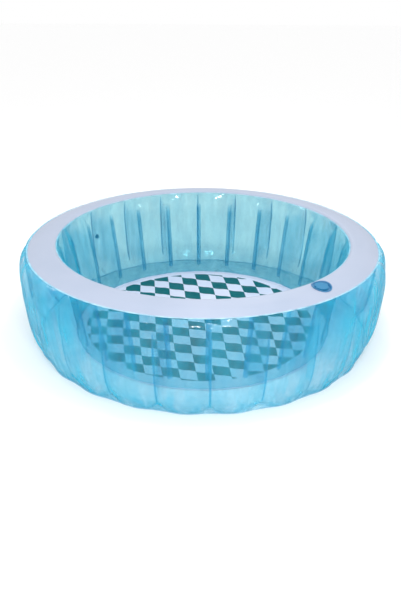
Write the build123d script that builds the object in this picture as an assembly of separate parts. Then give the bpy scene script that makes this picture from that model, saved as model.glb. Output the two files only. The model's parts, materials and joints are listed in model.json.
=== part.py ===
"""Round inflatable pool with a ribbed air wall, a screw-in air valve, a stem valve and a floor drain."""
from build123d import *
import os
from math import atan2, cos, degrees, radians, sin

os.makedirs("parts", exist_ok=True)

# Whole pool, millimetres. Z is up and the pool rests on z = 0, centred on the Z axis.
outer_radius = 980.0
wall_height = 503.0
crown_rise = 27.0
sheet = 2.0

# Air wall: radii are measured at the middle of a lobe, between two webs.
web_count = 24
first_web_angle = -87.8
outer_seam_setback = 54.0
ring_width = 144.5
inner_seam_rise = 17.0
foot_width = 277.0
inner_lobe_depth = 14.0
web_foot_gap = 46.0
web_top_gap = 40.0

# Share of the wall's height, setback from the widest radius, and depth of the lobes there.
outer_profile = [
    (0.0, 74.0, 10.0),
    (0.06, 61.0, 10.0),
    (0.15, 40.0, 11.0),
    (0.30, 20.0, 12.0),
    (0.50, 9.0, 13.0),
    (0.70, 1.0, 13.0),
    (0.82, 4.0, 11.0),
    (0.92, 14.0, 7.0),
    (0.97, 30.0, 3.0),
    (1.0, 54.0, 0.0),
]
# Share of the inner wall's height, share of its lean, and share of the lobe depth there.
inner_profile = [
    (0.0, 0.0, 0.0),
    (0.08, 0.02, 0.75),
    (0.25, 0.16, 1.0),
    (0.50, 0.42, 1.0),
    (0.75, 0.70, 1.0),
    (0.92, 0.90, 0.75),
    (1.0, 1.0, 0.0),
]

# White top ring.
crown_setback = 21.5
crown_fall = 6.5
crown_fall_at = 88.0

# Main air valve, on the top ring. Heights are in the valve's own frame, whose Z is its axis.
valve_angle = -50.0
valve_share = 0.42
weld_thickness = 1.6
weld_lap = 2.5
pocket_clearance = 1.0
pocket_flare = 8.0
pocket_rise = 6.0
pocket_floor = 2.5
pocket_wall = 1.6
neck_bore = 24.4
neck_wall = 2.6
neck_depth = 27.0
collar_top = 4.2
gasket_thickness = 1.2
gasket_clearance = 1.0
gasket_land = 7.1
thread_clearance = 0.4
insert_wall = 5.0
insert_depth = 18.0
insert_lip = 8.6
insert_flange = 2.5
socket_top = 3.4
socket_depth = 8.0
socket_step = 1.0
mouth_flare = 1.2
grip_count = 12
grip_radius = 2.6
grip_setback = 1.0
seat_lip = 4.0
seat_thickness = 3.0
seat_hub_radius = 4.5
flap_stem_radius = 1.5
flap_stem_clearance = 0.25
flap_head_radius = 3.5
seat_arm_width = 3.0
flap_overhang = 2.5
flap_thickness = 1.6
flap_travel = 5.0
cap_setback = 3.0
cap_thickness = 2.5
cap_rounding = 0.8
cap_sink = 0.8
skirt_depth = 4.5
skirt_wall = 3.0
skirt_clearance = 0.8
skirt_taper = 1.2
hinge_width = 16.0
hinge_block = 4.0
hinge_bead = 1.0
strap_thickness = 1.2
pull_tab_width = 8.0
pull_tab_length = 6.0
pull_tab_thickness = 1.6
gap = 0.3
overlap = 3.0

# Small stem valve, on the outer wall.
stem_valve_angle = 135.0
stem_valve_height = 254.0
stem_bore = 3.6
stem_wall = 2.4
stem_weld_lap = 8.0
stem_tube_in = 16.0
stem_tube_out = 6.0
stem_flap_setback = 0.5
stem_flap_thickness = 1.0
stem_flap_hinge = 4.0
stem_plug_depth = 5.0
stem_plug_lip = 0.5
stem_plug_thickness = 2.0
stem_tab_width = 5.0
stem_tab_length = 6.0
stem_tab_thickness = 1.2

# Floor drain, in the plain margin of the floor.
drain_angle = 20.0
drain_wall_gap = 8.0
drain_bore = 11.0
drain_boss_wall = 4.0
drain_weld_lap = 9.0
drain_boss_top = 9.0
drain_seal = 0.9
drain_seal_setback = 0.5
drain_head = 2.5
drain_handle_radius = 9.0
drain_handle_width = 2.5
drain_handle_thickness = 3.0

pitch_angle = 360.0 / web_count
outer_seam_radius = outer_radius - outer_seam_setback
inner_seam_radius = outer_seam_radius - ring_width
inner_seam_height = wall_height + inner_seam_rise
crown_height = wall_height + crown_rise
crown_radius = inner_seam_radius + crown_setback
foot_radius = outer_radius - foot_width

neck_radius = neck_bore + neck_wall
insert_bore = neck_bore - thread_clearance - insert_wall
insert_flange_radius = neck_bore + insert_lip
hinge_edge = insert_flange_radius + hinge_block
cap_radius = insert_flange_radius - cap_setback
gasket_top = collar_top + gasket_thickness
flange_top = gasket_top + insert_flange
valve_recess = flange_top + gap + cap_thickness + cap_sink
pocket_foot_radius = hinge_edge + pocket_clearance
pocket_mouth_radius = pocket_foot_radius + pocket_flare
pocket_low = collar_top - valve_recess - pocket_floor
valve_weld_radius = pocket_mouth_radius + weld_lap
seat_bore = insert_bore - seat_lip
flap_radius = seat_bore + flap_overhang

stem_tube_radius = stem_bore + stem_wall
stem_weld_radius = stem_tube_radius + stem_weld_lap
stem_flap_radius = stem_tube_radius - stem_flap_setback

drain_boss_radius = drain_bore + drain_boss_wall
drain_weld_radius = drain_boss_radius + drain_weld_lap
drain_radius = foot_radius - drain_weld_radius - drain_wall_gap


def lobed_wire(height, middle_radius, web_radius):
    """Closed loop of arcs at one height: each arc runs from web to web through the lobe's middle."""
    arcs = []
    for number in range(web_count):
        start = first_web_angle + number * pitch_angle
        points = []
        for angle, radius in (
            (start, web_radius),
            (start + pitch_angle / 2, middle_radius),
            (start + pitch_angle, web_radius),
        ):
            points.append((radius * cos(radians(angle)), radius * sin(radians(angle)), height))
        arcs.append(Edge.make_three_point_arc(*points))
    return Wire(arcs)


def outer_solid(inset):
    """Everything inside the outer wall, moved in by inset, from the base sheet up to the top seam."""
    wires = []
    for share, setback, depth in outer_profile:
        height = sheet + share * (wall_height - sheet)
        middle = outer_radius - setback - inset
        wires.append(lobed_wire(height, middle, middle - depth))
    return Solid.make_loft(wires)


def inner_solid(inset):
    """Everything inside the inner wall's pool side, moved out by inset, up to the inner seam."""
    wires = []
    for share, lean, lobe in inner_profile:
        height = sheet + share * (inner_seam_height - sheet)
        at_web = foot_radius + lean * (inner_seam_radius - foot_radius) + inset
        wires.append(lobed_wire(height, at_web - lobe * inner_lobe_depth, at_web))
    return Solid.make_loft(wires)


def crown_line(lift):
    """Section of the top ring, from the inner seam over the crown and down to the outer seam."""
    low = crown_height - sheet
    return Spline(
        (inner_seam_radius, 0, inner_seam_height + lift),
        (crown_radius, 0, low + lift),
        (inner_seam_radius + crown_fall_at, 0, low - crown_fall + lift),
        (outer_seam_radius, 0, wall_height + lift),
    )


def crown_layer(low, high):
    """Ring that lies between two lifts of the crown section."""
    lower = crown_line(low)
    upper = crown_line(high)
    section = make_face([lower, Line(lower @ 1, upper @ 1), upper, Line(upper @ 0, lower @ 0)])
    return revolve(section, Axis.Z)


def disc(radius, low, high):
    """Solid cylinder about local Z between two heights."""
    return Pos(0, 0, low) * Cylinder(radius, high - low, align=(Align.CENTER, Align.CENTER, Align.MIN))


def ring(outer, inner, low, high):
    """Flat ring or tube about local Z between two heights."""
    return disc(outer, low, high) - disc(inner, low - 1, high + 1)


def block(x_size, y_low, y_high, low, high):
    """Box centred on local X, with stated limits along local Y and Z."""
    shape = Box(x_size, y_high - y_low, high - low, align=(Align.CENTER, Align.MIN, Align.MIN))
    return Pos(0, y_low, low) * shape


def valve_place():
    """Frame of the main valve: on the ring's upper face, Z along the face's normal, Y along the ring."""
    line = crown_line(sheet)
    seat = line @ valve_share
    slope = line % valve_share
    tilt = degrees(atan2(-slope.Z, slope.X))
    return Rot(0, 0, valve_angle) * Pos(seat.X, 0, seat.Z) * Rot(0, tilt, 0)


def stem_place():
    """Frame of the stem valve: origin inside the wall at lobe depth, Z pointing straight out."""
    return Rot(0, 0, stem_valve_angle) * Pos(0, 0, stem_valve_height) * Rot(0, 90, 0)


def wall_reach(solid):
    """Distance from the Z axis to the solid's side, along the stem valve's axis."""
    probe = stem_place() * disc(0.5, 0, outer_radius + 50)
    return (stem_place().inverse() * (probe & solid)).bounding_box().max.Z


def drain_place():
    """Frame of the floor drain, at the underside of the floor."""
    return Rot(0, 0, drain_angle) * Pos(drain_radius, 0, 0)


def tapered(low_radius, high_radius, low, high):
    """Solid cone about local Z between two heights."""
    shape = Cone(low_radius, high_radius, high - low, align=(Align.CENTER, Align.CENTER, Align.MIN))
    return Pos(0, 0, low) * shape


def valve_pocket(grow, low):
    """Flared pocket that the main valve sits in, in the ring's frame, from low up past the ring."""
    share = (low - pocket_low) / (pocket_rise - pocket_low)
    foot = pocket_foot_radius + share * pocket_flare
    return tapered(foot + grow, pocket_mouth_radius + grow, low, pocket_rise)


def make_flange(surface, place):
    """Welded flange of the main valve, with its pocket, collar and neck."""
    beyond = valve_recess + neck_depth
    weld = crown_layer(sheet, sheet + weld_thickness) & (surface * disc(valve_weld_radius, -beyond, beyond))
    below = crown_layer(-beyond, sheet + weld_thickness)
    bowl = (surface * valve_pocket(pocket_wall, pocket_low)) & below
    flange = weld + bowl - surface * valve_pocket(0, pocket_low + pocket_floor)
    flange += place * disc(neck_radius, -neck_depth, collar_top - pocket_floor / 2)
    flange -= place * disc(neck_bore, -neck_depth - overlap, beyond)
    return flange


def make_insert():
    """Screw-in insert: grip rim, pump socket with a flared mouth, valve seat and cap hinge block."""
    insert = ring(neck_bore - thread_clearance, insert_bore, -insert_depth, flange_top)
    insert += ring(insert_flange_radius, insert_bore, gasket_top, flange_top)
    insert += ring(insert_bore + insert_wall / 2, insert_bore - socket_step, -insert_depth, -socket_depth)
    insert -= tapered(insert_bore - socket_step, insert_bore, -socket_depth - socket_step, -socket_depth)
    insert -= tapered(insert_bore, insert_bore + mouth_flare, socket_top, flange_top)
    for number in range(1, grip_count):
        angle = 90 + number * 360 / grip_count
        notch = disc(grip_radius, 0, flange_top + overlap)
        insert -= Rot(0, 0, angle) * Pos(insert_flange_radius + grip_setback, 0, 0) * notch
    seat_top = -insert_depth + seat_thickness
    insert += ring(insert_bore + insert_wall / 2, seat_bore, -insert_depth, seat_top)
    insert += disc(seat_hub_radius, -insert_depth, seat_top)
    for number in range(3):
        arm = block(seat_arm_width, 0, seat_bore + seat_lip / 2, -insert_depth, seat_top)
        insert += Rot(0, 0, 30 + number * 120) * arm
    insert -= disc(flap_stem_radius + flap_stem_clearance, -insert_depth - overlap, seat_top + overlap)
    insert += block(hinge_width, insert_flange_radius - overlap, hinge_edge, gasket_top, flange_top)
    insert -= hinge_roll(hinge_bead + gap, hinge_width + overlap)
    return insert


def hinge_roll(radius, length):
    """Cylinder along the cap's hinge line, in the valve's frame."""
    return Pos(0, hinge_edge, flange_top + gap / 2) * Rot(0, 90, 0) * Cylinder(radius, length)


def make_check_flap():
    """Check flap below the seat, with a stem that slides in the seat's hub and a stop head above it."""
    seat_top = -insert_depth + seat_thickness
    flap_top = -insert_depth - gap
    head_low = seat_top + flap_travel + gap
    flap = disc(flap_radius, flap_top - flap_thickness, flap_top)
    flap += disc(flap_stem_radius, flap_top - flap_thickness, head_low + flap_thickness)
    flap += disc(flap_head_radius, head_low, head_low + flap_thickness)
    return flap


def make_cap():
    """Cap with a tapered plug skirt, hinge strap with its rolled bead, and pull tab."""
    cap_low = flange_top + gap
    skirt_low = cap_low - skirt_depth
    skirt_radius = insert_bore - skirt_clearance
    cap = disc(cap_radius, cap_low, cap_low + cap_thickness)
    cap += tapered(skirt_radius - skirt_taper, skirt_radius, skirt_low, cap_low)
    cap -= disc(skirt_radius - skirt_taper - skirt_wall, skirt_low - overlap, cap_low)
    cap = fillet(cap.edges().filter_by(GeomType.CIRCLE).group_by(Axis.Z)[-1], cap_rounding)
    cap += block(hinge_width, cap_radius - overlap, hinge_edge, cap_low, cap_low + strap_thickness)
    cap += hinge_roll(hinge_bead, hinge_width)
    tab_edge = overlap - cap_radius
    tab_top = cap_low + pull_tab_thickness
    cap += block(pull_tab_width, tab_edge - overlap - pull_tab_length, tab_edge, cap_low, tab_top)
    return cap


def make_valve(surface):
    """Main valve: welded flange with its pocket and neck, screw-in insert, gasket, check flap and cap."""
    place = surface * Pos(0, 0, -valve_recess)
    gasket = ring(neck_bore + gasket_land, neck_bore + gasket_clearance, collar_top, gasket_top)
    hinge = (place * Pos(0, hinge_edge, flange_top + gap / 2)).position
    normal = (place * Pos(0, 0, 1)).position - place.position
    print("valve seat", place.position, "normal", normal, "cap hinge", hinge)
    return {
        "valve_flange": make_flange(surface, place),
        "valve_gasket": place * gasket,
        "valve_insert": place * make_insert(),
        "valve_check_flap": place * make_check_flap(),
        "valve_cap": place * make_cap(),
    }


def make_stem_valve(reach, skin, weld_skin):
    """Stem valve: welded tube, check flap on its inner end and pull-out plug."""
    place = stem_place() * Pos(0, 0, reach)
    beyond = stem_tube_in + stem_tube_out
    weld = (weld_skin & (place * disc(stem_weld_radius, -beyond, beyond))) - skin
    body = weld + place * disc(stem_tube_radius, -stem_tube_in, stem_tube_out)
    body -= place * disc(stem_bore, -stem_tube_in - overlap, stem_tube_out + overlap)
    flap_top = -stem_tube_in - gap
    flap = disc(stem_flap_radius, flap_top - stem_flap_thickness, flap_top)
    hinge = Pos(-stem_flap_radius, 0, flap_top - stem_flap_thickness / 2)
    flap += hinge * Rot(90, 0, 0) * Cylinder(stem_flap_thickness / 2, stem_flap_hinge)
    head_low = stem_tube_out + gap
    tab_start = stem_tube_radius + stem_plug_lip - 1
    plug = disc(stem_bore - gap, head_low - stem_plug_depth, head_low)
    plug += disc(stem_tube_radius + stem_plug_lip, head_low, head_low + stem_plug_thickness)
    tab_top = head_low + stem_tab_thickness
    plug += block(stem_tab_width, tab_start, tab_start + 1 + stem_tab_length, head_low, tab_top)
    print("stem valve", place.position, "stem hinge", (place * hinge).position)
    return {
        "stem_valve": body,
        "stem_check_flap": place * flap,
        "stem_plug": place * plug,
    }


def make_drain():
    """Floor drain: welded boss, pull-up plug and its seal."""
    place = drain_place()
    seat = ring(drain_weld_radius, drain_bore, sheet, sheet + weld_thickness)
    seat += ring(drain_boss_radius, drain_bore, sheet, drain_boss_top)
    seal_top = drain_boss_top + drain_seal
    head_radius = drain_boss_radius - drain_seal_setback
    seal = ring(head_radius, drain_bore, drain_boss_top, seal_top)
    head_top = seal_top + drain_head
    plug = disc(drain_bore - gap, gap, seal_top) + disc(head_radius, seal_top, head_top)
    loop = Plane.XZ * (Circle(drain_handle_radius) - Circle(drain_handle_radius - drain_handle_width))
    loop = extrude(loop, drain_handle_thickness / 2, both=True)
    above = block(3 * drain_handle_radius, -drain_bore, drain_bore, 0, 2 * drain_handle_radius)
    plug += Pos(0, 0, head_top) * (loop & Pos(0, 0, -1) * above)
    print("drain", place.position)
    return {
        "drain_seat": place * seat,
        "drain_seal": place * seal,
        "drain_plug": place * plug,
    }


def make_webs(cavity):
    """Radial webs that tie the two walls together, one between each pair of lobes."""
    low = web_foot_gap
    high = wall_height - web_top_gap
    slab = Box(outer_radius, sheet, high - low, align=(Align.MIN, Align.CENTER, Align.MIN))
    slab = Rot(0, 0, first_web_angle) * Pos(foot_radius / 2, 0, low) * slab
    web = slab & cavity
    webs = {}
    for number in range(web_count):
        webs[f"web_{number + 1:02d}"] = Rot(0, 0, number * pitch_angle) * web
    return webs


def make_pool():
    """All the pool's pieces, by node name."""
    skin = outer_solid(0)
    core = outer_solid(sheet)
    pool = inner_solid(0)
    pool_skin = inner_solid(sheet)
    place = valve_place()
    stem = stem_place()
    reach = wall_reach(skin)

    nodes = {}
    nodes["outer_wall"] = skin - core - stem * disc(stem_tube_radius, 0, outer_radius + 50)
    nodes["inner_wall"] = pool_skin - pool
    nodes["top_sheet"] = crown_layer(0, sheet) - place * valve_pocket(pocket_wall, pocket_low)
    base_depth = outer_profile[0][2]
    base_radius = outer_radius - outer_profile[0][1]
    outline = Face(lobed_wire(0, base_radius, base_radius - base_depth))
    joint_radius = foot_radius - inner_lobe_depth
    nodes["base_sheet"] = extrude(outline, sheet) - disc(joint_radius, -1, sheet + 1)
    nodes["floor_sheet"] = disc(joint_radius, 0, sheet) - drain_place() * disc(drain_bore, -1, 5)
    nodes.update(make_webs(core - pool_skin))
    nodes.update(make_valve(place))
    nodes.update(make_stem_valve(reach, skin, outer_solid(-weld_thickness)))
    nodes.update(make_drain())
    return nodes


for name, solid in make_pool().items():
    export_step(solid, f"parts/{name}.step")
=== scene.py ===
import bmesh
import bpy
import json
from math import atan2, cos, degrees, exp, hypot, pi, radians, sin, sqrt
from mathutils import Matrix, Vector, noise


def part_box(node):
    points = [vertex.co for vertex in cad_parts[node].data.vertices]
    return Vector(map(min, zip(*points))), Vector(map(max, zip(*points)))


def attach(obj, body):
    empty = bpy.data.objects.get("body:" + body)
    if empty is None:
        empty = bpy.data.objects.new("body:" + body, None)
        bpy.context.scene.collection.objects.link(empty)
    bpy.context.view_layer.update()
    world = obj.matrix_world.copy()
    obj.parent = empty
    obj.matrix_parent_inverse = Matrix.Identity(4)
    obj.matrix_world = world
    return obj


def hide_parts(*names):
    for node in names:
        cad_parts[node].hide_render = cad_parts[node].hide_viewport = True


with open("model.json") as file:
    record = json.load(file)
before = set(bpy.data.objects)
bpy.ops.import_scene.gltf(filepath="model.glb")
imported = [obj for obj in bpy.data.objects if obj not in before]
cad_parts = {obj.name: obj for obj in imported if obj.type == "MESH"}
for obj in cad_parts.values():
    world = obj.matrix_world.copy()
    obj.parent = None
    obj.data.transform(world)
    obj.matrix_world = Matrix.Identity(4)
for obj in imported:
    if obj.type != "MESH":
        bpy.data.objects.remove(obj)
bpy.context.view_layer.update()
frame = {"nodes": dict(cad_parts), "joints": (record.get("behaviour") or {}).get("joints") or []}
print("frame loaded:", len(frame["nodes"]), "nodes")


def linearColour(hexColour):
    channels = [int(hexColour[i:i + 2], 16) / 255 for i in (1, 3, 5)]
    return [c / 12.92 if c <= 0.04045 else ((c + 0.055) / 1.055) ** 2.4 for c in channels] + [1.0]


def addNode(tree, kind, links=None, **settings):
    # one node, its sockets set by name or number, then linked from other nodes' outputs
    node = tree.nodes.new(kind)
    for name, value in settings.items():
        setattr(node, name, value)
    for socket, source in (links or {}).items():
        if isinstance(source, bpy.types.NodeSocket):
            tree.links.new(source, node.inputs[socket])
        else:
            node.inputs[socket].default_value = source
    return node


def newMaterial(name):
    material = bpy.data.materials.new(name)
    material.use_nodes = True
    material.node_tree.nodes.clear()
    return material, material.node_tree


def deselectAll():
    if bpy.context.object and bpy.context.object.mode != "OBJECT":
        bpy.ops.object.mode_set(mode="OBJECT")
    bpy.ops.object.select_all(action="DESELECT")


def finishPiece(piece, name, material, smoothAngle=40):
    # names the piece, smooths it and gives it its material, its place kept in its mesh
    deselectAll()
    piece.select_set(True)
    bpy.context.view_layer.objects.active = piece
    bpy.ops.object.transform_apply(location=True, rotation=True, scale=True)
    bpy.ops.object.shade_smooth_by_angle(angle=radians(smoothAngle))
    piece.name = name
    piece.data.name = name
    piece.data.materials.clear()
    piece.data.materials.append(material)
    return piece


def applyModifiers(piece):
    deselectAll()
    piece.select_set(True)
    bpy.context.view_layer.objects.active = piece
    for modifier in list(piece.modifiers):
        bpy.ops.object.modifier_apply(modifier=modifier.name)


def between(points, at):
    # smooth curve through (place, value) pairs, read at one place
    if at <= points[0][0]:
        return points[0][1]
    for index in range(len(points) - 1):
        left, right = points[index], points[index + 1]
        if at <= right[0]:
            before = points[max(index - 1, 0)]
            after = points[min(index + 2, len(points) - 1)]
            span = right[0] - left[0]
            t = (at - left[0]) / span
            slopeLeft = (right[1] - before[1]) / (right[0] - before[0]) * span
            slopeRight = (after[1] - left[1]) / (after[0] - left[0]) * span
            a = 2 * t**3 - 3 * t**2 + 1
            b = t**3 - 2 * t**2 + t
            c = -2 * t**3 + 3 * t**2
            d = t**3 - t**2
            return a * left[1] + b * slopeLeft + c * right[1] + d * slopeRight
    return points[-1][1]


def openTube(columns, rows, low, high, crowding=0.0):
    # open cylinder of quads, one metre in radius, from one height to the other; crowding packs the rows
    # closer at both ends
    deselectAll()
    bpy.ops.mesh.primitive_cylinder_add(
        vertices=columns, radius=1, depth=high - low, end_fill_type="NOTHING",
        location=(0, 0, (low + high) / 2))
    tube = bpy.context.object
    bpy.ops.object.transform_apply(location=True, rotation=True, scale=True)
    bpy.ops.object.mode_set(mode="EDIT")
    mesh = bmesh.from_edit_mesh(tube.data)
    upright = [e for e in mesh.edges if abs(e.verts[0].co.z - e.verts[1].co.z) > 1e-6]
    bmesh.ops.subdivide_edges(mesh, edges=upright, cuts=rows - 1, use_grid_fill=True)
    for vertex in mesh.verts:
        share = (vertex.co.z - low) / (high - low)
        vertex.co.z -= crowding * sin(2 * pi * share) / (2 * pi) * (high - low)
    bmesh.update_edit_mesh(tube.data)
    bpy.ops.object.mode_set(mode="OBJECT")
    return tube


def clamped(value):
    return min(max(value, 0), 1)


def boxCentre(name):
    low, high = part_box(name)
    return (Vector(low) + Vector(high)) / 2


# what the frame gives: the pieces' boxes and the joints, in metres
ringLow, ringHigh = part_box("top_sheet")
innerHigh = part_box("inner_wall")[1]
webLow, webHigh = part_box("web_01")
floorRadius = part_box("floor_sheet")[1][0]
joints = {joint["name"]: joint for joint in frame["joints"]}

pool = {
    "webs": 24,
    "webAngle": degrees(atan2(webLow[1] + webHigh[1], webLow[0] + webHigh[0])),
    "widest": 0.980,  # radius of the lobes' crests
    "film": 0.0009,
    "ground": 0.0004,
    "filmGap": 0.0006,  # the inner wall's foot stands this far above the outer one's
    "outerSeam": ringHigh[0],
    "outerSeamHeight": ringLow[2],
    "innerSeam": innerHigh[0] - 0.002,
    "innerSeamHeight": innerHigh[2],
    "foot": 0.703,  # radius at which the inner wall meets the floor
    "webFoot": webLow[2],
    "webTop": webHigh[2],
    "columnsPerLobe": 24,
    "wallRows": 68,
    "crowding": 0.55,
    "swellFade": 0.04,  # beyond a web's ends the arch turns to a soft swell over this height
    "gatherReach": 0.03,  # how far the gathers run from a seam
    "gatherStart": 0.02,  # share of the wall's height over which they grow from its other edge
    "calmReach": 0.03,  # how far a small fitting keeps its sheet flat
    "valve": Vector(joints["insert_turn"]["pos_m"]),
    "valveAxis": Vector(joints["insert_turn"]["axis"]),
    "stemValve": boxCentre("stem_valve"),
    "stemAxis": Vector(joints["stem_plug_pull"]["axis"]),
    "stemHole": 0.0052,
    "drain": boxCentre("drain_seal"),
    "drainHole": 0.0112,
}
pool["columns"] = pool["webs"] * pool["columnsPerLobe"]

outerShape = {
    # share of the wall's height against setback from the widest radius, then against lobe depth
    "setback": [(0, 0.074), (0.06, 0.061), (0.15, 0.040), (0.30, 0.020), (0.50, 0.009),
                (0.70, 0.001), (0.82, 0.004), (0.92, 0.014), (0.97, 0.030), (1, 0.054)],
    "lobe": [(0, 0.010), (0.06, 0.011), (0.15, 0.012), (0.30, 0.012), (0.50, 0.013),
             (0.70, 0.013), (0.85, 0.012), (0.93, 0.007), (0.97, 0.003), (1, 0.0)],
    "ripple": 0.0012,
    "gather": 0.0016,
}
innerShape = {
    # share of the wall's height against share of its lean, then against lobe depth
    "lean": [(0, 0), (0.08, 0.02), (0.25, 0.16), (0.50, 0.42), (0.75, 0.70), (0.92, 0.90), (1, 1)],
    "lobe": [(0, 0), (0.03, 0.007), (0.08, 0.0125), (0.2, 0.015), (0.8, 0.015),
             (0.92, 0.0125), (0.97, 0.007), (1, 0)],
    "gather": 0.0020,
    "footGather": 0.0022,
}
pucker = {
    # the film's short pulls beside a weld: size, reach from the weld and distance between them
    "pull": 0.0022,
    "reach": 0.022,
    "step": 0.028,
    "fade": 0.05,
    # the deeper dents round a web's ends
    "endFold": 0.0035,
    "endDip": 0.002,
    "endHeight": 0.022,
    "endReach": 0.045,
    "endStep": 0.035,
}
crease = {
    "depth": 0.0055,
    "width": 0.010,
    "spread": 0.85,
    "slope": 0.75,  # sideways for each metre past the web's end
    "squareness": 0.8,
    "roomAbove": 0.045,
    "roomBelow": 0.050,
    "start": 0.008,
    "end": 0.02,
}


def lobeTurn(angle):
    # 0 in the middle of a lobe, 1 on the web at either side
    lobe = 360 / pool["webs"]
    return abs(((degrees(angle) - pool["webAngle"]) % lobe) / lobe * 2 - 1)


def lobeRise(turn, height):
    # how far a lobe stands above its webs: an arch beside a web, a soft swell past the web's ends
    soft = clamped(max(pool["webFoot"] - height, height - pool["webTop"]) / pool["swellFade"])
    arch = 1 - turn**2
    wave = 0.5 + 0.5 * cos(pi * turn)
    return arch * (1 - soft) + wave * soft


def noiseAt(x, y, z):
    return noise.noise(Vector((x, y, z)))


def calmNear(place, centre, reach):
    # 0 at a fitting and 1 away from it, so that the sheet lies flat under its welded flange
    away = (Vector(place) - centre).length / reach
    return clamped(away - 1)


def webPucker(angle, height, turn):
    # short pulls in the film where it is welded to a web, and dents round the web's ends
    lobe = radians(360 / pool["webs"])
    away = (1 - turn) * lobe / 2 * pool["widest"]
    inside = clamped((height - pool["webFoot"]) / pucker["fade"])
    inside *= clamped((pool["webTop"] - height) / pucker["fade"])
    number = round((degrees(angle) - pool["webAngle"]) / 360 * pool["webs"])
    ripple = noiseAt(number * 7.3, height / pucker["step"], 2.0)
    pulls = inside * ripple * pucker["pull"] * exp(-away / pucker["reach"])
    ends = exp(-abs(height - pool["webTop"]) / pucker["endHeight"])
    ends += exp(-abs(height - pool["webFoot"]) / pucker["endHeight"])
    fold = noiseAt(degrees(angle) * 1.1, height / pucker["endStep"], 11.0)
    dents = ends * (pucker["endFold"] * fold - pucker["endDip"]) * exp(-away / pucker["endReach"])
    return pulls + dents


def cornerFold(angle, height):
    # the two creases that run from each web's end out to the seam, as depth below the lobe
    lobe = radians(360 / pool["webs"])
    turns = (angle - radians(pool["webAngle"])) / lobe
    aside = abs(turns - round(turns)) * lobe * crease["spread"]
    above = (height - pool["webTop"], crease["roomAbove"])
    below = (pool["webFoot"] - height, crease["roomBelow"])
    depth = 0.0
    for past, room in (above, below):
        if 0 < past < room:
            off = (aside - crease["slope"] * past) * crease["squareness"]
            fade = min(past / crease["start"], 1) * min((room - past) / crease["end"], 1)
            depth += crease["depth"] * exp(-(off / crease["width"])**2) * fade
    return depth


def seamPucker(angle, height, seamHeight, reach, size):
    # gathers that run into a seam and die away from it
    fade = exp(-abs(height - seamHeight) / reach)
    ripple = noiseAt(cos(angle) * 22, sin(angle) * 22, seamHeight * 3)
    finer = noiseAt(cos(angle) * 55, sin(angle) * 55, seamHeight * 9)
    return size * fade * (ripple + 0.6 * finer)


def outerRadius(angle, height):
    share = (height - pool["ground"]) / (pool["outerSeamHeight"] - pool["ground"])
    turn = lobeTurn(angle)
    depth = between(outerShape["lobe"], share)
    radius = pool["widest"] - between(outerShape["setback"], share) - depth * (1 - lobeRise(turn, height))
    radius += webPucker(angle, height, turn) - cornerFold(angle, height)
    calm = calmNear((radius * cos(angle), radius * sin(angle), height), pool["stemValve"], pool["calmReach"])
    free = calm * clamped(share / 0.1) * clamped((1 - share) / 0.05)
    radius += free * outerShape["ripple"] * noiseAt(cos(angle) * 6, sin(angle) * 6, height * 7)
    radius += min(share / pool["gatherStart"], 1) * seamPucker(
        angle, height, pool["outerSeamHeight"], pool["gatherReach"], outerShape["gather"])
    return radius


def innerRadius(angle, height):
    share = (height - pool["ground"]) / (pool["innerSeamHeight"] - pool["ground"])
    turn = lobeTurn(angle)
    lean = between(innerShape["lean"], share) * (pool["innerSeam"] - pool["foot"])
    radius = pool["foot"] + lean - between(innerShape["lobe"], share) * lobeRise(turn, height)
    radius -= webPucker(angle, height, turn) - cornerFold(angle, height)
    radius += min(share / pool["gatherStart"], 1) * seamPucker(
        angle, height, pool["innerSeamHeight"], pool["gatherReach"], innerShape["gather"])
    radius += min((1 - share) / pool["gatherStart"], 1) * seamPucker(
        angle, height, 0.0, pool["gatherReach"], innerShape["footGather"])
    return radius


def shapeTube(tube, place):
    # moves each vertex of an open tube to the place that a function gives for its angle and height
    for vertex in tube.data.vertices:
        angle = atan2(vertex.co.y, vertex.co.x)
        vertex.co = place(angle, vertex.co.z)
    tube.data.update()


def bore(piece, centre, axis, radius, depth):
    # round hole through a piece, for a fitting
    deselectAll()
    bpy.ops.mesh.primitive_cylinder_add(
        vertices=64, radius=radius, depth=depth, location=centre,
        rotation=axis.to_track_quat("Z", "Y").to_euler())
    cutter = bpy.context.object
    hole = piece.modifiers.new("hole", "BOOLEAN")
    hole.operation = "DIFFERENCE"
    hole.object = cutter
    applyModifiers(piece)
    deselectAll()
    cutter.select_set(True)
    bpy.ops.object.delete()


def thicken(piece, thickness, offset):
    solid = piece.modifiers.new("thickness", "SOLIDIFY")
    solid.thickness = thickness
    solid.offset = offset
    solid.use_even_offset = False
    applyModifiers(piece)


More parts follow.
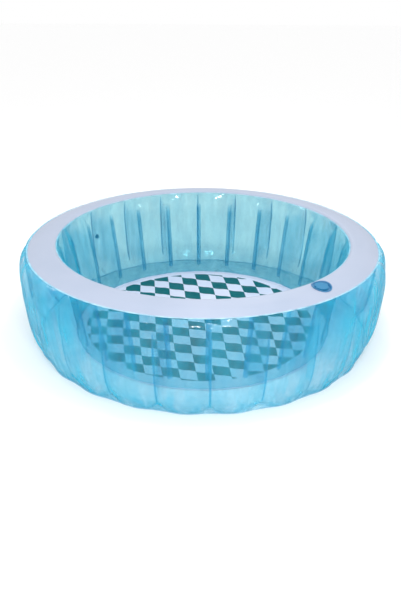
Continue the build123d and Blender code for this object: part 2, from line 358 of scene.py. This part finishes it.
def vinylFilm(name, tint, body, deep, bodyShare, edgeShare, skinShare, roughness, wrinkle, fade=None):
    # clear vinyl film, calendered and dyed: passes tinted light, glows a little with its own colour, more so
    # and deeper edge-on, under a glossy skin; fade gives the heights between which the tint is full, and how
    # softly it starts
    material, tree = newMaterial(name)
    coordinates = addNode(tree, "ShaderNodeTexCoord")
    ripple = addNode(tree, "ShaderNodeTexNoise", {
        "Vector": coordinates.outputs["Object"], "Scale": 1 / 0.045, "Detail": 3.0, "Roughness": 0.5,
        "Distortion": 0.6})
    bump = addNode(tree, "ShaderNodeBump", {
        "Height": ripple.outputs["Fac"], "Strength": 0.5, "Distance": wrinkle})
    low, high, soft = fade or (-1.0, 2.0, 0.5)
    place = addNode(tree, "ShaderNodeSeparateXYZ", {0: coordinates.outputs["Object"]})
    rising = addNode(tree, "ShaderNodeMapRange", {
        "Value": place.outputs["Z"], "From Min": low, "From Max": low + soft},
        interpolation_type="SMOOTHSTEP")
    falling = addNode(tree, "ShaderNodeMapRange", {
        "Value": place.outputs["Z"], "From Min": high, "From Max": high - soft},
        interpolation_type="SMOOTHSTEP")
    full = addNode(tree, "ShaderNodeMath", {
        0: rising.outputs["Result"], 1: falling.outputs["Result"]}, operation="MULTIPLY")
    dye = addNode(tree, "ShaderNodeMix", {
        0: full.outputs["Value"], 6: linearColour("#FFFFFF"), 7: linearColour(tint)}, data_type="RGBA")
    clear = addNode(tree, "ShaderNodeBsdfTransparent", {"Color": dye.outputs[2]})
    facing = addNode(tree, "ShaderNodeLayerWeight", {"Blend": 0.5, "Normal": bump.outputs["Normal"]})
    steep = addNode(tree, "ShaderNodeMath", {0: facing.outputs["Facing"], 1: 2.0}, operation="POWER")
    own = addNode(tree, "ShaderNodeMix", {
        0: steep.outputs["Value"], 6: linearColour(body), 7: linearColour(deep)}, data_type="RGBA")
    milky = addNode(tree, "ShaderNodeBsdfDiffuse", {
        "Color": own.outputs[2], "Normal": bump.outputs["Normal"]})
    dense = addNode(tree, "ShaderNodeMapRange", {
        "Value": steep.outputs["Value"], "From Min": 0.0, "From Max": 1.0,
        "To Min": bodyShare, "To Max": edgeShare})
    stretched = addNode(tree, "ShaderNodeVectorMath", {
        0: coordinates.outputs["Object"], 1: (1, 1, 0.22)}, operation="MULTIPLY")
    streaks = addNode(tree, "ShaderNodeTexNoise", {
        "Vector": stretched.outputs["Vector"], "Scale": 1 / 0.055, "Detail": 3.0, "Distortion": 0.5})
    uneven = addNode(tree, "ShaderNodeMapRange", {
        "Value": streaks.outputs["Fac"], "From Min": 0.32, "From Max": 0.68, "To Min": 0.35, "To Max": 1.9})
    streaked = addNode(tree, "ShaderNodeMath", {
        0: dense.outputs["Result"], 1: uneven.outputs["Result"]}, operation="MULTIPLY")
    held = addNode(tree, "ShaderNodeMath", {
        0: streaked.outputs["Value"], 1: full.outputs["Value"]}, operation="MULTIPLY")
    sheet = addNode(tree, "ShaderNodeMixShader", {
        0: held.outputs["Value"], 1: clear.outputs["BSDF"], 2: milky.outputs["BSDF"]})
    gloss = addNode(tree, "ShaderNodeBsdfAnisotropic", {
        "Color": linearColour("#FFFFFF"), "Roughness": roughness, "Normal": bump.outputs["Normal"]})
    glancing = addNode(tree, "ShaderNodeMath", {0: facing.outputs["Facing"], 1: 5.0}, operation="POWER")
    skin = addNode(tree, "ShaderNodeMath", {
        0: glancing.outputs["Value"], 1: 0.20, 2: skinShare}, operation="MULTIPLY_ADD")
    surface = addNode(tree, "ShaderNodeMixShader", {
        0: skin.outputs["Value"], 1: sheet.outputs["Shader"], 2: gloss.outputs["BSDF"]})
    addNode(tree, "ShaderNodeOutputMaterial", {"Surface": surface.outputs["Shader"]})
    return material


def whiteVinyl(name, dark, light):
    # opaque white vinyl sheet, calendered: satin, faintly blue, slightly uneven
    material, tree = newMaterial(name)
    coordinates = addNode(tree, "ShaderNodeTexCoord")
    clouds = addNode(tree, "ShaderNodeTexNoise", {
        "Vector": coordinates.outputs["Object"], "Scale": 1 / 0.25, "Detail": 2.0})
    tone = addNode(tree, "ShaderNodeMix", {
        0: clouds.outputs["Fac"], 6: linearColour(dark), 7: linearColour(light)}, data_type="RGBA")
    wrinkles = addNode(tree, "ShaderNodeTexNoise", {
        "Vector": coordinates.outputs["Object"], "Scale": 1 / 0.03, "Detail": 4.0, "Distortion": 0.4})
    bump = addNode(tree, "ShaderNodeBump", {
        "Height": wrinkles.outputs["Fac"], "Strength": 0.35, "Distance": 0.0015})
    sheen = addNode(tree, "ShaderNodeMapRange", {
        "Value": clouds.outputs["Fac"], "From Min": 0.3, "From Max": 0.7, "To Min": 0.42, "To Max": 0.52})
    surface = addNode(tree, "ShaderNodeBsdfPrincipled", {
        "Base Color": tone.outputs[2], "Roughness": sheen.outputs["Result"], "IOR": 1.5,
        "Normal": bump.outputs["Normal"]})
    addNode(tree, "ShaderNodeOutputMaterial", {"Surface": surface.outputs["BSDF"]})
    return material


def printedVinyl(name, printMap, edge, middle):
    # white vinyl floor sheet, screen printed: flat dark green checks inside a round edge, under a low sheen;
    # printMap holds the checks' own coordinates, and middle is the round edge's centre
    material, tree = newMaterial(name)
    coordinates = addNode(tree, "ShaderNodeTexCoord")
    checks = addNode(tree, "ShaderNodeUVMap", uv_map=printMap)
    lifted = addNode(tree, "ShaderNodeVectorMath", {0: checks.outputs["UV"], 1: (0, 0, 1.5)}, operation="ADD")
    squares = addNode(tree, "ShaderNodeTexChecker", {
        "Vector": lifted.outputs["Vector"], "Color1": (1, 1, 1, 1), "Color2": (0, 0, 0, 1), "Scale": 1.0})
    centred = addNode(tree, "ShaderNodeVectorMath", {
        0: coordinates.outputs["Object"], 1: middle}, operation="SUBTRACT")
    away = addNode(tree, "ShaderNodeVectorMath", {0: centred.outputs["Vector"]}, operation="LENGTH")
    inside = addNode(tree, "ShaderNodeMath", {0: away.outputs["Value"], 1: edge}, operation="LESS_THAN")
    inked = addNode(tree, "ShaderNodeMath", {
        0: squares.outputs["Fac"], 1: inside.outputs["Value"]}, operation="MULTIPLY")
    mottle = addNode(tree, "ShaderNodeTexNoise", {
        "Vector": coordinates.outputs["Object"], "Scale": 1 / 0.12, "Detail": 3.0})
    ink = addNode(tree, "ShaderNodeMix", {
        0: mottle.outputs["Fac"], 6: linearColour("#035560"), 7: linearColour("#0A6D70")}, data_type="RGBA")
    blank = addNode(tree, "ShaderNodeMix", {
        0: mottle.outputs["Fac"], 6: linearColour("#CDD4EA"), 7: linearColour("#E4E4F4")}, data_type="RGBA")
    tone = addNode(tree, "ShaderNodeMix", {
        0: inked.outputs["Value"], 6: blank.outputs[2], 7: ink.outputs[2]}, data_type="RGBA")
    wrinkles = addNode(tree, "ShaderNodeTexNoise", {
        "Vector": coordinates.outputs["Object"], "Scale": 1 / 0.06, "Detail": 3.0, "Distortion": 0.8})
    bump = addNode(tree, "ShaderNodeBump", {
        "Height": wrinkles.outputs["Fac"], "Strength": 0.5, "Distance": 0.004})
    surface = addNode(tree, "ShaderNodeBsdfPrincipled", {
        "Base Color": tone.outputs[2], "Roughness": 0.34, "IOR": 1.5, "Specular IOR Level": 0.15,
        "Normal": bump.outputs["Normal"]})
    addNode(tree, "ShaderNodeOutputMaterial", {"Surface": surface.outputs["BSDF"]})
    return material


def mouldedPlastic(name, dark, light, grain, grainDepth, roughness, coat=0.0):
    # moulded part: even colour with a slight cloud in it, and a fine spark-eroded grain that only softens
    # the highlights at this distance
    material, tree = newMaterial(name)
    coordinates = addNode(tree, "ShaderNodeTexCoord")
    cloud = addNode(tree, "ShaderNodeTexNoise", {
        "Vector": coordinates.outputs["Object"], "Scale": 1 / 0.02, "Detail": 2.0})
    tone = addNode(tree, "ShaderNodeMix", {
        0: cloud.outputs["Fac"], 6: linearColour(dark), 7: linearColour(light)}, data_type="RGBA")
    texture = addNode(tree, "ShaderNodeTexNoise", {
        "Vector": coordinates.outputs["Object"], "Scale": 1 / grain, "Detail": 2.0})
    bump = addNode(tree, "ShaderNodeBump", {
        "Height": texture.outputs["Fac"], "Strength": 0.4, "Distance": grainDepth})
    surface = addNode(tree, "ShaderNodeBsdfPrincipled", {
        "Base Color": tone.outputs[2], "Roughness": roughness, "IOR": 1.5, "Coat Weight": coat,
        "Coat Roughness": 0.1, "Normal": bump.outputs["Normal"]})
    addNode(tree, "ShaderNodeOutputMaterial", {"Surface": surface.outputs["BSDF"]})
    return material


glow = "#30C5E5"
deepGlow = "#19A6C5"
outerFilm = vinylFilm(
    "tintedVinylFilm", tint="#F7FCFE", body=glow, deep=deepGlow,
    bodyShare=0.05, edgeShare=0.60, skinShare=0.012, roughness=0.06, wrinkle=0.003)
innerFilm = vinylFilm(
    "tintedVinylFilmInner", tint="#D1EAED", body=glow, deep=deepGlow,
    bodyShare=0.04, edgeShare=0.40, skinShare=0.022, roughness=0.06, wrinkle=0.003)
baseFilm = vinylFilm(
    "tintedVinylFilmBase", tint="#FAFDFE", body=glow, deep=deepGlow,
    bodyShare=0.01, edgeShare=0.1, skinShare=0.014, roughness=0.12, wrinkle=0.001)
webFilm = vinylFilm(
    "webVinylFilm", tint="#EFF9FD", body="#19BCDD", deep=deepGlow,
    bodyShare=0.03, edgeShare=0.18, skinShare=0.004, roughness=0.15, wrinkle=0.002,
    fade=(pool["webFoot"], pool["webTop"], 0.12))
weldFilm = vinylFilm(
    "weldedVinylStrip", tint="#DAF1F9", body="#19B1DA", deep=deepGlow,
    bodyShare=0.15, edgeShare=0.4, skinShare=0.014, roughness=0.2, wrinkle=0.0006,
    fade=(pool["webFoot"] - 0.03, pool["webTop"], 0.06))
seamFilm = vinylFilm(
    "weldedVinylSeam", tint="#F7FCFD", body="#CBE5F1", deep=glow,
    bodyShare=0.35, edgeShare=0.6, skinShare=0.014, roughness=0.2, wrinkle=0.0006)
ringVinyl = whiteVinyl("calenderedWhiteVinyl", dark="#98A5BA", light="#ABB3C6")
floorVinyl = printedVinyl("printedFloorVinyl", printMap="checks", edge=0.642, middle=(-0.012, 0.014, 0))
fittingVinyl = mouldedPlastic(
    "mouldedSoftVinyl", dark="#1C6595", light="#2873A0", grain=0.0006, grainDepth=0.00004, roughness=0.42,
    coat=0.1)
fittingPlastic = mouldedPlastic(
    "mouldedPolythene", dark="#0C6C9A", light="#1478A4", grain=0.0005, grainDepth=0.00003, roughness=0.38,
    coat=0.05)
sealRubber = mouldedPlastic(
    "mouldedSealRubber", dark="#20303E", light="#2C3E4E", grain=0.0004, grainDepth=0.00003, roughness=0.6)
flapSilicone = mouldedPlastic(
    "mouldedSilicone", dark="#C4CED4", light="#D6DDE0", grain=0.0006, grainDepth=0.00003, roughness=0.4,
    coat=0.1)

outerWall = openTube(
    pool["columns"], pool["wallRows"], pool["ground"], pool["outerSeamHeight"], pool["crowding"])
shapeTube(outerWall, lambda angle, height: Vector((
    outerRadius(angle, height) * cos(angle), outerRadius(angle, height) * sin(angle), height)))
thicken(outerWall, pool["film"], -1)
bore(outerWall, pool["stemValve"], pool["stemAxis"], pool["stemHole"], 0.05)
finishPiece(outerWall, "outerWallFilm", outerFilm, 18)
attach(outerWall, "pool")
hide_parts("outer_wall")
print("outer wall:", len(outerWall.data.polygons), "faces")

innerWall = openTube(
    pool["columns"], pool["wallRows"], pool["ground"] + pool["filmGap"], pool["innerSeamHeight"],
    pool["crowding"])
shapeTube(innerWall, lambda angle, height: Vector((
    innerRadius(angle, height) * cos(angle), innerRadius(angle, height) * sin(angle), height)))
thicken(innerWall, pool["film"], 1)
finishPiece(innerWall, "innerWallFilm", innerFilm, 18)
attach(innerWall, "pool")
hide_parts("inner_wall")
print("inner wall:", len(innerWall.data.polygons), "faces")

for name, node in frame["nodes"].items():
    if name.startswith("web_"):
        node.data.materials.clear()
        node.data.materials.append(webFilm)
print("webs: film")


outerWeld = {"width": 0.009, "end": 0.003, "thickness": 0.0005, "offset": -0.0013, "waver": 0.06}
innerWeld = {"width": 0.026, "end": 0.003, "thickness": 0.0005, "offset": 0.0013, "waver": 0.06}


def weldStrips(name, weld, radiusAt):
    # the welded edges of all the webs on one wall, one strip each with rounded ends, on the wall's air side
    strips = []
    low = pool["webFoot"] + weld["end"]
    high = pool["webTop"] - weld["end"]
    for number in range(pool["webs"]):
        deselectAll()
        bpy.ops.mesh.primitive_grid_add(x_subdivisions=4, y_subdivisions=64, size=2)
        strip = bpy.context.object
        middle = radians(pool["webAngle"] + number * 360 / pool["webs"])
        for vertex in strip.data.vertices:
            across, up = vertex.co.x, vertex.co.y
            height = low + (up + 1) / 2 * (high - low)
            blunt = sqrt(max(1 - max(abs(up) - 0.985, 0) / 0.015, 0.05))
            wave = weld["waver"] * noiseAt(number * 3.1, height / 0.02, 7.0)
            angle = middle + (across * blunt + wave) * weld["width"] / 2 / radiusAt(middle, height)
            radius = radiusAt(angle, height) + weld["offset"]
            vertex.co = Vector((radius * cos(angle), radius * sin(angle), height))
        strips.append(strip)
    deselectAll()
    for strip in strips:
        strip.select_set(True)
    bpy.context.view_layer.objects.active = strips[0]
    bpy.ops.object.join()
    joined = bpy.context.object
    thicken(joined, weld["thickness"], 0)
    finishPiece(joined, name, weldFilm, 40)
    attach(joined, "pool")
    return joined


weldStrips("outerWebWelds", outerWeld, outerRadius)
weldStrips("innerWebWelds", innerWeld, innerRadius)
print("web welds done")

ring = {
    # share from the outer seam to the inner seam, against setback from the outer seam and height
    "reach": [(0, 0), (0.15, 0.022), (0.4, 0.0565), (0.7, 0.100), (0.9, 0.130), (1, 0.1445)],
    "rise": [(0, 0), (0.15, 0.0085), (0.4, 0.0195), (0.7, 0.0256), (0.86, 0.0268), (0.94, 0.0245),
             (1, 0.0185)],
    "rows": 36,
    "columns": 480,
    "thickness": 0.0011,
    "pocket": 0.0466,  # radius of the valve's hole
    "ripple": 0.0008,
    "gather": 0.0012,
    "dip": 0.0015,  # of the outer edge over each web
}


def ringPlace(angle, share):
    radius = pool["outerSeam"] - between(ring["reach"], share)
    height = pool["outerSeamHeight"] + between(ring["rise"], share)
    calm = calmNear((radius * cos(angle), radius * sin(angle), pool["valve"].z), pool["valve"], 0.06)
    turn = lobeTurn(angle)
    middle = 4 * share * (1 - share)
    height += calm * middle * ring["ripple"] * noiseAt(cos(angle) * 7, sin(angle) * 7, share * 3)
    gather = noiseAt(cos(angle) * 24, sin(angle) * 24, 5.0)
    gather += 0.5 * noiseAt(cos(angle) * 60, sin(angle) * 60, 9.0)
    edge = exp(-share / 0.12) + exp(-(1 - share) / 0.12)
    height -= calm * gather * ring["gather"] * edge * min(share / 0.05, (1 - share) / 0.05, 1)
    height -= ring["dip"] * turn**4 * exp(-share / 0.1) * min(share / 0.05, 1)
    return Vector((radius * cos(angle), radius * sin(angle), min(height, ringHigh[2])))


topRing = openTube(ring["columns"], ring["rows"], 0, 1)
shapeTube(topRing, ringPlace)
thicken(topRing, ring["thickness"], -1)
bore(topRing, pool["valve"], pool["valveAxis"], ring["pocket"], 0.05)
finishPiece(topRing, "topRingSheet", ringVinyl, 40)
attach(topRing, "pool")
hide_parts("top_sheet")
print("top ring:", len(topRing.data.polygons), "faces")


lip = {
    "columns": 384,
    "rows": 5,
    "thickness": 0.0009,
    "ripple": 0.0006,
}


def seamLip(name, material, reachAt):
    # narrow welded flange that runs round a seam; reachAt gives the place for an angle and a share across
    flange = openTube(lip["columns"], lip["rows"], 0, 1)
    shapeTube(flange, reachAt)
    thicken(flange, lip["thickness"], -1)
    finishPiece(flange, name, material, 50)
    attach(flange, "pool")
    return flange


def lipRipple(angle, seed):
    return lip["ripple"] * noiseAt(cos(angle) * 40, sin(angle) * 40, seed)


def outerLip(angle, share):
    ripple = lipRipple(angle, 3.0)
    radius = pool["outerSeam"] - 0.001 + share * (0.0075 + ripple)
    height = pool["outerSeamHeight"] + 0.0012 - share * 0.0012 + share * 2 * ripple
    return Vector((radius * cos(angle), radius * sin(angle), height))


def innerLip(angle, share):
    ripple = lipRipple(angle, 6.0)
    radius = pool["innerSeam"] + 0.001 - share * (0.0065 + ripple)
    height = pool["innerSeamHeight"] - 0.0004 - share * 0.0016 + share * 2 * ripple
    return Vector((radius * cos(angle), radius * sin(angle), height))


def groundLip(angle, share):
    radius = outerRadius(angle, pool["ground"]) - 0.001 + share * (0.008 + lipRipple(angle, 9.0))
    return Vector((radius * cos(angle), radius * sin(angle), 0.0014))


def floorLip(angle, share):
    radius = pool["foot"] + 0.007 - share * (0.020 + lipRipple(angle, 12.0))
    return Vector((radius * cos(angle), radius * sin(angle), 0.0042 - share * 0.0008))


seamLip("outerSeamLip", seamFilm, outerLip)
seamLip("innerSeamLip", seamFilm, innerLip)
seamLip("groundSeamLip", seamFilm, groundLip)
seamLip("floorSeamLip", floorVinyl, floorLip)
print("seam lips done")

floorPrint = {
    # columns and rows of checks: which lies at the middle of the pool, and how many pass in a metre to the
    # right and in a metre away from the front
    "middle": Vector((29.89, 36.79)),
    "across": Vector((10.70, -3.21)),
    "along": Vector((0.71, -10.47)),
    # how far the stretched sheet pulls them out of true, for the place's powers x2, xy, y2, x3, xy2 and y3
    "pulls": (Vector((0, 0.22)), Vector((-0.52, 0)), Vector((0, 0.90)), Vector((0.48, 2.42)),
              Vector((2.0, 0)), Vector((0.91, -0.93))),
    "sway": 0.22,
    "steps": 170,
    "thickness": 0.0008,
    "height": 0.0018,
    "wave": 0.003,
}


def printPlace(x, y):
    # column and row of the checks at a place on the floor
    place = floorPrint["middle"] + x * floorPrint["across"] + y * floorPrint["along"]
    for pull, power in zip(floorPrint["pulls"], (x * x, x * y, y * y, x**3, x * y * y, y**3)):
        place = place + pull * power
    place.y += floorPrint["sway"] * sin(2 * pi * (place.x + 0.5)) / (2 * pi)
    return place


deselectAll()
bpy.ops.mesh.primitive_grid_add(
    x_subdivisions=floorPrint["steps"], y_subdivisions=floorPrint["steps"], size=2)
floorSheet = bpy.context.object
for vertex in floorSheet.data.vertices:
    # the square grid is drawn out to a round sheet, then waved
    x = vertex.co.x * sqrt(1 - vertex.co.y**2 / 2) * floorRadius
    y = vertex.co.y * sqrt(1 - vertex.co.x**2 / 2) * floorRadius
    rim = min((1 - hypot(x, y) / floorRadius) / 0.03, 1)
    wave = noiseAt(x * 6, y * 6, 1.5) + 0.4 * noiseAt(x * 17, y * 17, 4.0)
    calm = calmNear((x, y, pool["drain"].z), pool["drain"], pool["calmReach"])
    z = floorPrint["height"] + calm * rim * max(wave + 0.25, -0.2) * floorPrint["wave"]
    vertex.co = Vector((x, y, z))
thicken(floorSheet, floorPrint["thickness"], -1)
bore(floorSheet, pool["drain"], Vector((0, 0, 1)), pool["drainHole"], 0.02)
checks = floorSheet.data.uv_layers[0]
checks.name = "checks"
for loop in floorSheet.data.loops:
    spot = floorSheet.data.vertices[loop.vertex_index].co
    checks.data[loop.index].uv = printPlace(spot.x, spot.y)
finishPiece(floorSheet, "printedFloorSheet", floorVinyl, 60)
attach(floorSheet, "pool")
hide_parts("floor_sheet")


def basePlace(angle, share):
    # from the floor's edge out to the outer wall's foot, nearly flat on the ground
    radius = floorRadius + share * (outerRadius(angle, pool["ground"]) - floorRadius)
    height = 0.0002 + 0.0006 * abs(noiseAt(cos(angle) * 9, sin(angle) * 9, share * 2))
    return Vector((radius * cos(angle), radius * sin(angle), height))


baseRing = openTube(pool["columns"], 10, 0, 1)
shapeTube(baseRing, basePlace)
thicken(baseRing, floorPrint["thickness"], -1)
finishPiece(baseRing, "baseRingFilm", baseFilm, 40)
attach(baseRing, "pool")
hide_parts("base_sheet")
print("floor and base done")

nodeMaterials = {
    "valve_flange": fittingVinyl,
    "valve_gasket": sealRubber,
    "valve_insert": fittingPlastic,
    "valve_check_flap": flapSilicone,
    "valve_cap": fittingPlastic,
    "stem_valve": fittingVinyl,
    "stem_check_flap": flapSilicone,
    "stem_plug": fittingPlastic,
    "drain_seat": fittingVinyl,
    "drain_seal": sealRubber,
    "drain_plug": fittingPlastic,
}
for name, material in nodeMaterials.items():
    node = frame["nodes"][name]
    node.data.materials.clear()
    node.data.materials.append(material)
print("fittings: materials")

view = {
    "away": 3.522,
    "height": 1.862,
    "aim": 0.1335,
    "lens": 41.71,
    "roll": 0.0062,
    "shift": -0.0036,
}
cameraData = bpy.data.cameras.new("camera")
cameraData.sensor_width = 36
cameraData.lens = view["lens"]
cameraData.shift_x = view["shift"]
camera = bpy.data.objects.new("camera", cameraData)
bpy.context.collection.objects.link(camera)
camera.location = (0, -view["away"], view["height"])
lookAlong = Vector((0, 0, view["aim"])) - camera.location
aimed = lookAlong.to_track_quat("-Z", "Y").to_matrix()
camera.rotation_euler = (aimed @ Matrix.Rotation(view["roll"], 3, "Z")).to_euler()
bpy.context.scene.camera = camera

deselectAll()
bpy.ops.mesh.primitive_plane_add(size=40, location=(0, 0, -0.0005))
ground = bpy.context.object
ground.name = "studioFloor"
groundPaint, groundTree = newMaterial("studioFloorPaint")
groundSurface = addNode(groundTree, "ShaderNodeBsdfPrincipled", {
    "Base Color": linearColour("#FDFDFD"), "Roughness": 0.9, "Specular IOR Level": 0.1})
addNode(groundTree, "ShaderNodeOutputMaterial", {"Surface": groundSurface.outputs["BSDF"]})
ground.data.materials.append(groundPaint)


def softbox(name, place, aim, width, height, power):
    data = bpy.data.lights.new(name, "AREA")
    data.shape = "RECTANGLE"
    data.size = width
    data.size_y = height
    data.energy = power
    lamp = bpy.data.objects.new(name, data)
    bpy.context.collection.objects.link(lamp)
    lamp.location = place
    lamp.rotation_euler = (Vector(aim) - Vector(place)).to_track_quat("-Z", "Y").to_euler()
    return lamp


softbox("overheadBox", (0.3, -0.6, 3.2), (0, 0, 0.2), 0.5, 0.5, 20)
softbox("frontBox", (0.2, -3.5, 2.7), (0, 0.3, 0.3), 1.2, 0.35, 62)
softbox("leftBox", (-2.8, 1.0, 2.6), (0, 0, 0.3), 0.4, 0.6, 8)
softbox("backBox", (0.6, 3.0, 2.8), (0, 0, 0.4), 0.5, 0.4, 8)

world = bpy.data.worlds.new("studio")
world.use_nodes = True
world.node_tree.nodes["Background"].inputs["Color"].default_value = (1, 1, 1, 1)
world.node_tree.nodes["Background"].inputs["Strength"].default_value = 1.0
bpy.context.scene.world = world
bpy.context.scene.view_settings.view_transform = "Standard"
bpy.context.scene.cycles.transparent_max_bounces = 48
bpy.context.scene.cycles.max_bounces = 16
